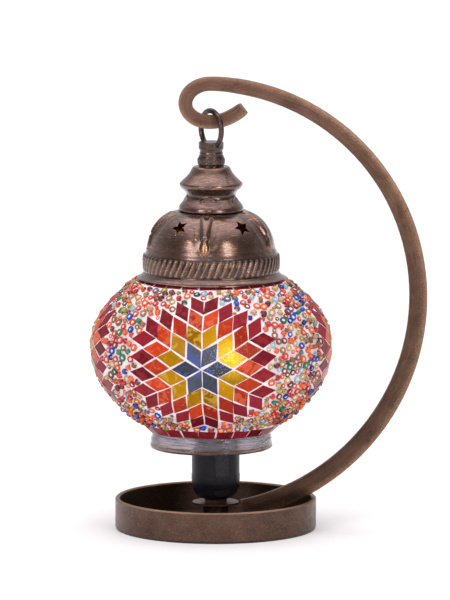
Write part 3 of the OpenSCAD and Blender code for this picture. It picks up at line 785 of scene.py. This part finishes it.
def globe_normals(points):
    """Outward normals: the bowl's, and the cone's below the shoulder."""
    half = np.where(points[..., 2] > EQUATOR_Z, GLOBE_UP, GLOBE_DOWN)
    flat = points[..., :2] - np.array([HANG_X, 0])
    bowl = np.concatenate([flat / GLOBE_R ** 2,
                           ((points[..., 2] - EQUATOR_Z) / half ** 2)[..., None]], axis=-1)
    cone = np.concatenate([unit(flat) * SHOULDER_OUT[0],
                           np.full(flat.shape[:-1] + (1,), SHOULDER_OUT[1])], axis=-1)
    share = np.clip((SHOULDER_TOP[1] - points[..., 2]) / 1.5, 0, 1)[..., None]
    return unit(unit(bowl) * (1 - share) + cone * share)


def neck_push(turn, r, z):
    """Blown-glass waves, strongest on the clear neck."""
    low = GLOBE_LOW[2]
    share = np.clip((70.5 - z) / 2, 0, 1) * np.clip((z - low) / 2, 0.25, 1)
    return share * (0.22 * ripple(turn, z * 2.5, 7, 11) + 0.14 * np.sin(1.9 * z + 2 * turn))


def globe_glass():
    """The blown bowl, open at the top, and its clear neck with a rolled lip."""
    low, top = GLOBE_LOW[2], GLOBE_HIGH[2]
    neck_r, lip_r, mouth_r = 42.3, 1.7, 37.0
    lats = np.radians(np.arange(GLASS_LAT, -GLASS_LAT - 1, -2.0))
    bowl = np.stack(profile(lats, 0), axis=1)
    lining = np.stack(profile(lats, -GLASS_T), axis=1)[::-1]
    foot = low + lip_r
    lip = arc((neck_r - GLASS_T / 2, foot), lip_r, lip_r, 35, -215, 14)
    loop = np.concatenate([
        [(mouth_r, top), (mouth_r + GLASS_T, top), (mouth_r + GLASS_T, top - 3.6)], bowl,
        bezier(bowl[-1], (41.2, 69.2), (41.2, 68.2), (41.4, 66.8), 6),
        bezier((41.4, 66.8), (41.7, 64.8), (42.1, 63), (neck_r - 0.1, 60.4), 6), lip,
        [(neck_r - GLASS_T, 61), (neck_r - GLASS_T, 66)], lining,
        [(mouth_r, top - 5)]])
    points, faces, _ = turned(resampled(loop, 2.0), 180, neck_push)
    stain = np.clip(1 - (points[:, 2] - low) / 4.2, 0, 1) ** 0.8
    piece("globe_glass", points, faces, "globe", "shade", ["glass_globe"],
          marks={"lip": stain})


class Tile:
    """One glass tile of the mosaic, read from its CAD node."""

    def __init__(self, corners):
        centre = corners.mean(axis=0)
        self.normal = np.linalg.svd(corners - centre)[2][-1]
        self.normal *= np.sign(self.normal @ globe_normals(centre))
        height = (corners - centre) @ self.normal
        top = corners[height > 0]
        self.thick = height[height > 0].mean() - height[height < 0].mean()
        self.centre = top.mean(axis=0)
        self.ex = unit(top[0] - self.centre)
        self.ey = np.cross(self.normal, self.ex)
        flat = (top - self.centre) @ np.stack([self.ex, self.ey], axis=1)
        self.flat = flat[np.argsort(np.arctan2(flat[:, 1], flat[:, 0]))]
        ahead = np.roll(self.flat, -1, axis=0) - self.flat
        self.out = unit(np.stack([ahead[:, 1], -ahead[:, 0]], axis=1))

    def trim_foot(self, share):
        """Moves the tile's lower edge up towards its upper edge by a share of the way."""
        high = self.flat @ np.array([self.ex[2], self.ey[2]]) > 0
        beside = np.where(np.roll(high, 1)[:, None], np.roll(self.flat, 1, axis=0),
                          np.roll(self.flat, -1, axis=0))
        self.flat = np.where(high[:, None], self.flat,
                             self.flat + share * (beside - self.flat))

    def distance(self, points):
        """Roughly how far points lie outside the tile's outline, or inside if negative."""
        flat = (points - self.centre) @ np.stack([self.ex, self.ey], axis=1)
        beyond = np.einsum("pkc,kc->pk", flat[:, None, :] - self.flat[None], self.out)
        return beyond.max(axis=1)


def islands(node):
    """The corner points of each separate solid in a CAD node, in millimetres."""
    work = merged_mesh(node)
    left = set(work.verts)
    found = []
    while left:
        group = [left.pop()]
        for vert in group:
            joined = {v for edge in vert.link_edges for v in edge.verts} & left
            left -= joined
            group += joined
        found.append(np.array(sorted(tuple(v.co) for v in group)) / MM)
    work.free()
    return sorted(found, key=lambda c: tuple(np.round(c.mean(axis=0), 3)))


TILES = {node: [Tile(c) for c in islands(node)] for node in (
    "tiles_blue", "tiles_yellow", "tiles_orange", "tiles_red", "collar_tiles", "hem_tiles")}
ALL_TILES = [tile for tiles in TILES.values() for tile in tiles]
for collar_tile in TILES["collar_tiles"]:
    collar_tile.trim_foot(COLLAR_TRIM)


def tile_distance(points):
    """How far each point lies from the nearest tile's outline, up to 15 mm."""
    reach = 15.0
    nearest = np.full(len(points), reach)
    for tile in ALL_TILES:
        close = np.linalg.norm(points - tile.centre, axis=1) < reach
        if close.any():
            nearest[close] = np.minimum(nearest[close], tile.distance(points[close]))
    return nearest


def cut_tile(tile, picks):
    """Points and faces of one hand-cut tile: eased rims, a slight lean, uneven corners."""
    ease, fill = 0.24, 1.035
    lean = np.array([picks.uniform(-0.02, 0.02), picks.uniform(-0.02, 0.02)])
    turn = picks.uniform(-0.065, 0.065)
    shift = np.array([picks.uniform(-0.32, 0.32), picks.uniform(-0.32, 0.32)])
    flat = tile.flat @ np.array([[math.cos(turn), math.sin(turn)],
                                 [-math.sin(turn), math.cos(turn)]]) * fill + shift
    flat = flat + np.array([[picks.uniform(-0.25, 0.25) for _ in range(2)] for _ in flat])
    spans = np.linalg.norm(flat, axis=1)[:, None]
    rings = [(flat, -tile.thick), (flat, -ease),
             (flat * (1 - 0.35 * ease / spans), -0.3 * ease),
             (flat * (1 - 1.3 * ease / spans), 0.0), (flat * 0.5, 0.03)]
    points = []
    for ring, depth in rings:
        rise = depth + ring @ lean
        points.append(tile.centre + ring @ np.stack([tile.ex, tile.ey])
                      + rise[:, None] * tile.normal)
    return np.concatenate(points), capped_rings(len(rings), len(flat))


def mosaic(name, node, look, seed):
    """All tiles of one CAD node as one piece, each with tints of its own and a painted glow."""
    picks = random.Random(seed)
    points, faces, tints, seconds = [], [], [], []
    for tile in TILES[node]:
        corners, sides = cut_tile(tile, picks)
        faces += shifted(sides, len(points))
        points += corners.tolist()
        tints += [picks.random()] * len(corners)
        seconds += [picks.random()] * len(corners)
    # How far each point is from the painted glow's spot, which sets the glow's share.
    away = np.linalg.norm(np.array(points) - on_globe(*np.radians(GLOW_AT), 2.0), axis=1)
    piece(name, points, faces, look, "shade", [node], smooth=False,
          marks={"tint": tints, "second_tint": seconds, "glow": np.exp(-(away / 12) ** 2)})


def grout():
    """The grout: higher between the tiles than among the beads, never quite level."""
    count = 400
    lats = np.radians(np.arange(GROUT_LATS[0], GROUT_LATS[1] - 0.1, -0.9))
    az = np.arange(count) * TURN / count
    lat_grid, az_grid = np.meshgrid(lats, az, indexing="ij")
    base = on_globe(lat_grid, az_grid, 0.0)
    near = tile_distance(base.reshape(-1, 3)).reshape(base.shape[:2])
    share = np.clip((3.2 - near) / 2.4, 0, 1)
    rough = 0.08 * ripple(az_grid * 9, lat_grid * 400, 9, 21)
    depth = GROUT_T + (STAR_GROUT_T - GROUT_T) * share + rough
    outer = base + globe_normals(base) * depth[..., None]
    inner = on_globe(lat_grid, az_grid, 0.03)[::-1]
    grid = np.concatenate([outer, inner])
    piece("grout", grid.reshape(-1, 3), ring_quads(len(grid), count), "grout", "shade",
          ["grout_skin"])


# ----- seed beads -----
# How many beads of each size are thrown, and their least and greatest radius.
BEAD_THROWS = ((24000, 2.15, 2.7), (18000, 1.8, 2.2), (18000, 1.4, 1.8))
LYING_SHARE = 0.52
# Each colour's share, its deep and plain tones, and how much light it lets through.
BEAD_COLOURS = {
    "orange": (0.24, (0.55, 0.045, 0.006), (0.90, 0.14, 0.015), 0.05),
    "copper": (0.15, (0.15, 0.035, 0.014), (0.36, 0.105, 0.040), 0.1),
    "amber": (0.19, (0.36, 0.17, 0.045), (0.70, 0.42, 0.17), 0.2),
    "red": (0.13, (0.40, 0.005, 0.005), (0.80, 0.03, 0.015), 0.05),
    "wine": (0.05, (0.10, 0.005, 0.012), (0.26, 0.02, 0.03), 0.15),
    "blue": (0.085, (0.005, 0.018, 0.16), (0.02, 0.08, 0.60), 0.05),
    "green": (0.05, (0.006, 0.055, 0.02), (0.03, 0.21, 0.08), 0.05),
    "sky": (0.045, (0.22, 0.40, 0.50), (0.48, 0.68, 0.78), 0.3),
    "olive": (0.035, (0.32, 0.26, 0.02), (0.68, 0.56, 0.06), 0.2),
    "smoke": (0.025, (0.05, 0.05, 0.09), (0.16, 0.17, 0.26), 0.2),
}


def bead_places(picks):
    """Seats and radii of the beads, thrown at random and kept where there is room."""
    overlap, cell = 0.95, 2 * BEAD_THROWS[0][2]
    total = sum(throws for throws, _, _ in BEAD_THROWS)
    top, bottom = np.radians(BEAD_LATS[0]), np.radians(BEAD_LATS[1])
    heights = np.array([picks.uniform(math.sin(bottom), math.sin(top)) for _ in range(total)])
    around = np.array([picks.uniform(0, TURN) for _ in range(total)])
    seats = on_globe(np.arcsin(heights), around, GROUT_T)
    sizes = [picks.uniform(least, most) for throws, least, most in BEAD_THROWS
             for _ in range(throws)]
    taken, kept = {}, []
    for seat, r, free in zip(seats, sizes, tile_distance(seats)):
        if free < r * 0.85 + 0.2:
            continue
        i, j, k = (int(c // cell) for c in seat)
        cells = itertools.product((i - 1, i, i + 1), (j - 1, j, j + 1), (k - 1, k, k + 1))
        close = itertools.chain.from_iterable(taken.get(c, ()) for c in cells)
        if any(np.dot(seat - p, seat - p) < (overlap * (r + q)) ** 2 for p, q in close):
            continue
        taken.setdefault((i, j, k), []).append((seat, r))
        kept.append((seat, r))
    return kept


def bead_mesh(hole, tall):
    """One bead about its own Z axis, with an outer radius of 1."""
    around, sides, square = 16, 8, 0.75
    thick = (1 - hole) / 2
    section = []
    for b in (j * TURN / sides for j in range(sides)):
        bulge = abs(math.cos(b)) ** square * math.copysign(1, math.cos(b))
        rise = abs(math.sin(b)) ** square * math.copysign(1, math.sin(b))
        section.append((hole + thick + thick * bulge, tall * rise))
    points = [(r * math.cos(a), r * math.sin(a), z)
              for a in (i * TURN / around for i in range(around)) for r, z in section]
    return np.array(points), np.array(ring_quads(around, sides))


def bead_axes(normal, lying, picks):
    """The bead's own axes as rows; its hole runs along the last one."""
    nudge = np.array([picks.gauss(0, 1) for _ in range(3)])
    if lying:
        axis = normal + 0.16 * nudge
    else:
        axis = nudge - (nudge @ normal) * normal * picks.uniform(0.85, 1.0)
    axis = unit(axis)
    side = unit(np.cross(axis, (0.31, 0.62, 0.72)))
    return np.stack([side, np.cross(axis, side), axis])


def beads():
    """The seed beads, one piece for each colour, and the grout inside those that lie flat."""
    picks = random.Random(5)
    plug_sides = 8
    names = list(BEAD_COLOURS)
    shares = [BEAD_COLOURS[n][0] for n in names]
    heaps = {n: ([], [], []) for n in names}
    plugs, plug_faces = [], []
    for seat, r in bead_places(picks):
        name = picks.choices(names, shares)[0]
        normal = globe_normals(seat)
        lying = picks.random() < LYING_SHARE
        hole = picks.uniform(0.38, 0.54)
        tall = picks.uniform(0.45, 0.56) if lying else picks.uniform(0.62, 0.9)
        shape, faces = bead_mesh(hole, tall)
        axes = bead_axes(normal, lying, picks)
        size = r if lying else 0.86 * r
        middle_at = seat + normal * r * (0.14 if lying else 0.26)
        points, sides, tints = heaps[name]
        sides.append(faces + len(points) * len(shape))
        points.append(shape * size @ axes + middle_at)
        tints += [picks.random()] * len(shape)
        if lying:
            turns = np.arange(plug_sides) * TURN / plug_sides
            rim = [(math.cos(a), math.sin(a), 0.4) for a in turns]
            cap = np.array(rim + [(0, 0, 0.75)]) * (hole * 1.1, hole * 1.1, tall)
            cone = [(k, (k + 1) % plug_sides, plug_sides) for k in range(plug_sides)]
            plug_faces += shifted(cone, len(cap) * len(plugs))
            plugs.append(cap * size @ axes + middle_at)
    for name, (points, sides, tints) in heaps.items():
        _, deep, body, clear = BEAD_COLOURS[name]
        LOOKS["bead_" + name] = bead_glass("bead_" + name, deep, body, clear)
        stands_for = ["bead_layer"] if name == "orange" else []
        piece("beads_" + name, np.concatenate(points), np.concatenate(sides).tolist(),
              "bead_" + name, "shade", stands_for, marks={"tint": tints})
    piece("grout_in_beads", np.concatenate(plugs), plug_faces, "grout", "shade")


# ----- stand details -----
CATCH_AZ = math.radians(-78)


def curved_plate(name, rings, lift):
    """A plate on the lampholder's front, from rings of (height, wall radius, half angle)."""
    across, sink = 13, 0.6
    points = []
    for z, r, half in rings:
        turns = np.linspace(CATCH_AZ - half, CATCH_AZ + half, across)
        for reach, way in ((r + lift, 1), (r - sink, -1)):
            points += [(reach * math.cos(a), reach * math.sin(a), z) for a in turns[::way]]
    faces = capped_rings(len(rings), 2 * across)
    keep_sharp(piece(name, points, faces, "tab", "stand"))


def holder_catch():
    """The little arched catch low on the front of the lampholder's dome."""
    low, high = low_high("holder_dome")
    wall_r = (high[0] - low[0]) / 2
    curve = np.concatenate([[(10.6, low[2])], bezier(
        (10.6, low[2]), (14, low[2] + 1), (wall_r, low[2] + 7), (wall_r, low[2] + 13.7), 16)])
    widest = math.radians(21)
    rings = []
    for share in np.linspace(0, 1, 9):
        z = low[2] + 2.0 + 5.2 * share
        half = widest * math.sqrt(max(0.04, 1 - (1 - share) ** 2))
        rings.append((z, np.interp(z, curve[:, 1], curve[:, 0]), half))
    curved_plate("holder_catch", rings, 0.6)


def holder_tab():
    """The spring tab let into the front of the lampholder's skirt, above the catch."""
    low, high = low_high("holder_skirt")
    wall_r = (high[0] - low[0]) / 2
    half = math.radians(16)
    rings = [(z, wall_r, half) for z in (low[2] + 0.6, high[2] - 3.0)]
    curved_plate("holder_tab", rings, 0.35)


def plain_nodes():
    """Materials of the CAD nodes that stay in view."""
    for look, nodes in {
            "pan": ("base_ring",), "felt": ("base_felt",), "vitrite": ("bulb_insulator",),
            "ceramic": ("holder_core",), "filament": ("bulb_filaments",),
            "finial": ("link_ring",), "iron": ("base_floor", "arm_foot", "lower_sleeve"),
            "steel": ("foot_screws", "core_screws", "globe_strap"),
            "rubber": ("cord_bush", "centring_gasket", "strap_tips"),
            "brass": ("threaded_nipple", "screw_shell", "centre_contact", "hanger_rod",
                      "crown_nut", "strap_nut"),
            "ring": ("hub_washer", "lock_nut"), "plastic": ("holder_dome", "holder_skirt"),
            "nickel": ("bulb_tip", "bulb_cap"), "bulb": ("bulb_glass", "bulb_stem")}.items():
        for node in nodes:
            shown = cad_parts[node].data
            shown.materials.clear()
            shown.materials.append(LOOKS[look])


# ----- studio -----
def floor():
    """A wide, nearly white studio floor."""
    reach = 30000
    mesh = mesh_of("floor", [(-reach, -reach, 0), (reach, -reach, 0), (reach, reach, 0),
                             (-reach, reach, 0)], [(0, 1, 2, 3)])
    look = Look("studio_floor", {"Roughness": 0.6, "Specular IOR Level": 0.2})
    grain = look.noise(look.place(), 0.02, detail=3)
    look.set("Base Color", look.mix(grain, (0.90, 0.90, 0.90), (0.93, 0.93, 0.93)))
    mesh.materials.append(look.material)
    placed("floor", mesh)


def sky():
    """Soft studio surround: bright overhead and behind, dimmer at the front."""
    world = bpy.data.worlds.new("studio")
    bpy.context.scene.world = world
    graph = Graph(world, "Background")
    way = graph.where("Generated")
    behind = graph.spread(graph.part(way, "Y"), -0.5, 0.6, 0.16, 0.60)
    overhead = graph.spread(graph.part(way, "Z"), 0.55, 0.95, 0.0, 2.0)
    graph.set("Color", (1.0, 0.975, 0.997))
    graph.set("Strength", graph.maths("ADD", behind, overhead))


def heading(az, el):
    """Unit vector from the object towards azimuth az (0 is the front) and elevation el."""
    a, e = math.radians(az), math.radians(el)
    return Vector((math.sin(a) * math.cos(e), -math.cos(a) * math.cos(e), math.sin(e)))


def aimed(made, target, way, distance):
    """Puts a lamp or camera some way from its target, and turns it to face it."""
    made.location = target + distance * way
    made.rotation_euler = (target - made.location).to_track_quat("-Z", "Y").to_euler()


def softbox(name, az, el, width, height, power):
    """A rectangular lamp that faces the object from the given direction."""
    data = bpy.data.lights.new(name, "AREA")
    data.shape = "RECTANGLE"
    data.size = width
    data.size_y = height
    data.energy = power
    aimed(placed(name, data), Vector((0, 0, 0.16)), heading(az, el), 1.5)


def vent_glow():
    """The lit bulb's warm light inside the cap, seen through its stars."""
    data = bpy.data.lights.new("vent_glow", "POINT")
    data.color = (1.0, 0.55, 0.24)
    data.energy = 0.05
    data.shadow_soft_size = 6 * MM
    placed("vent_glow", data).location = Vector((HANG_X, -14, 206)) * MM


def camera():
    """A long lens, a little above the lamp and to its left."""
    data = bpy.data.cameras.new("camera")
    data.sensor_width = 36
    data.lens = 518
    data.clip_end = 100
    made = placed("camera", data)
    aimed(made, Vector((0.0065, 0, 0.160)), heading(VIEW_AZ, VIEW_EL), 6.0)
    bpy.context.scene.camera = made


def studio():
    """Floor, surround, lamps, camera and render settings."""
    floor()
    sky()
    softbox("left_box", VIEW_AZ - 36, 22, 0.45, 0.75, 6.5)
    softbox("right_box", VIEW_AZ + 30, 18, 0.35, 0.70, 5.5)
    softbox("front_box", VIEW_AZ - 5, 25, 0.16, 0.50, 1.3)
    vent_glow()
    camera()
    bpy.context.scene.view_settings.view_transform = "Standard"
    bpy.context.scene.cycles.use_denoising = True


studio()
plain_nodes()
swan_arm()
holder_catch()
holder_tab()
finial()
crown()
dome()
globe_glass()
grout()
for hue, seed in (("blue", 1), ("yellow", 2), ("orange", 3), ("red", 4)):
    mosaic("mosaic_" + hue, "tiles_" + hue, hue, seed)
for row, seed in (("collar", 6), ("hem", 7)):
    mosaic("mosaic_" + row, row + "_tiles", "red", seed)
beads()
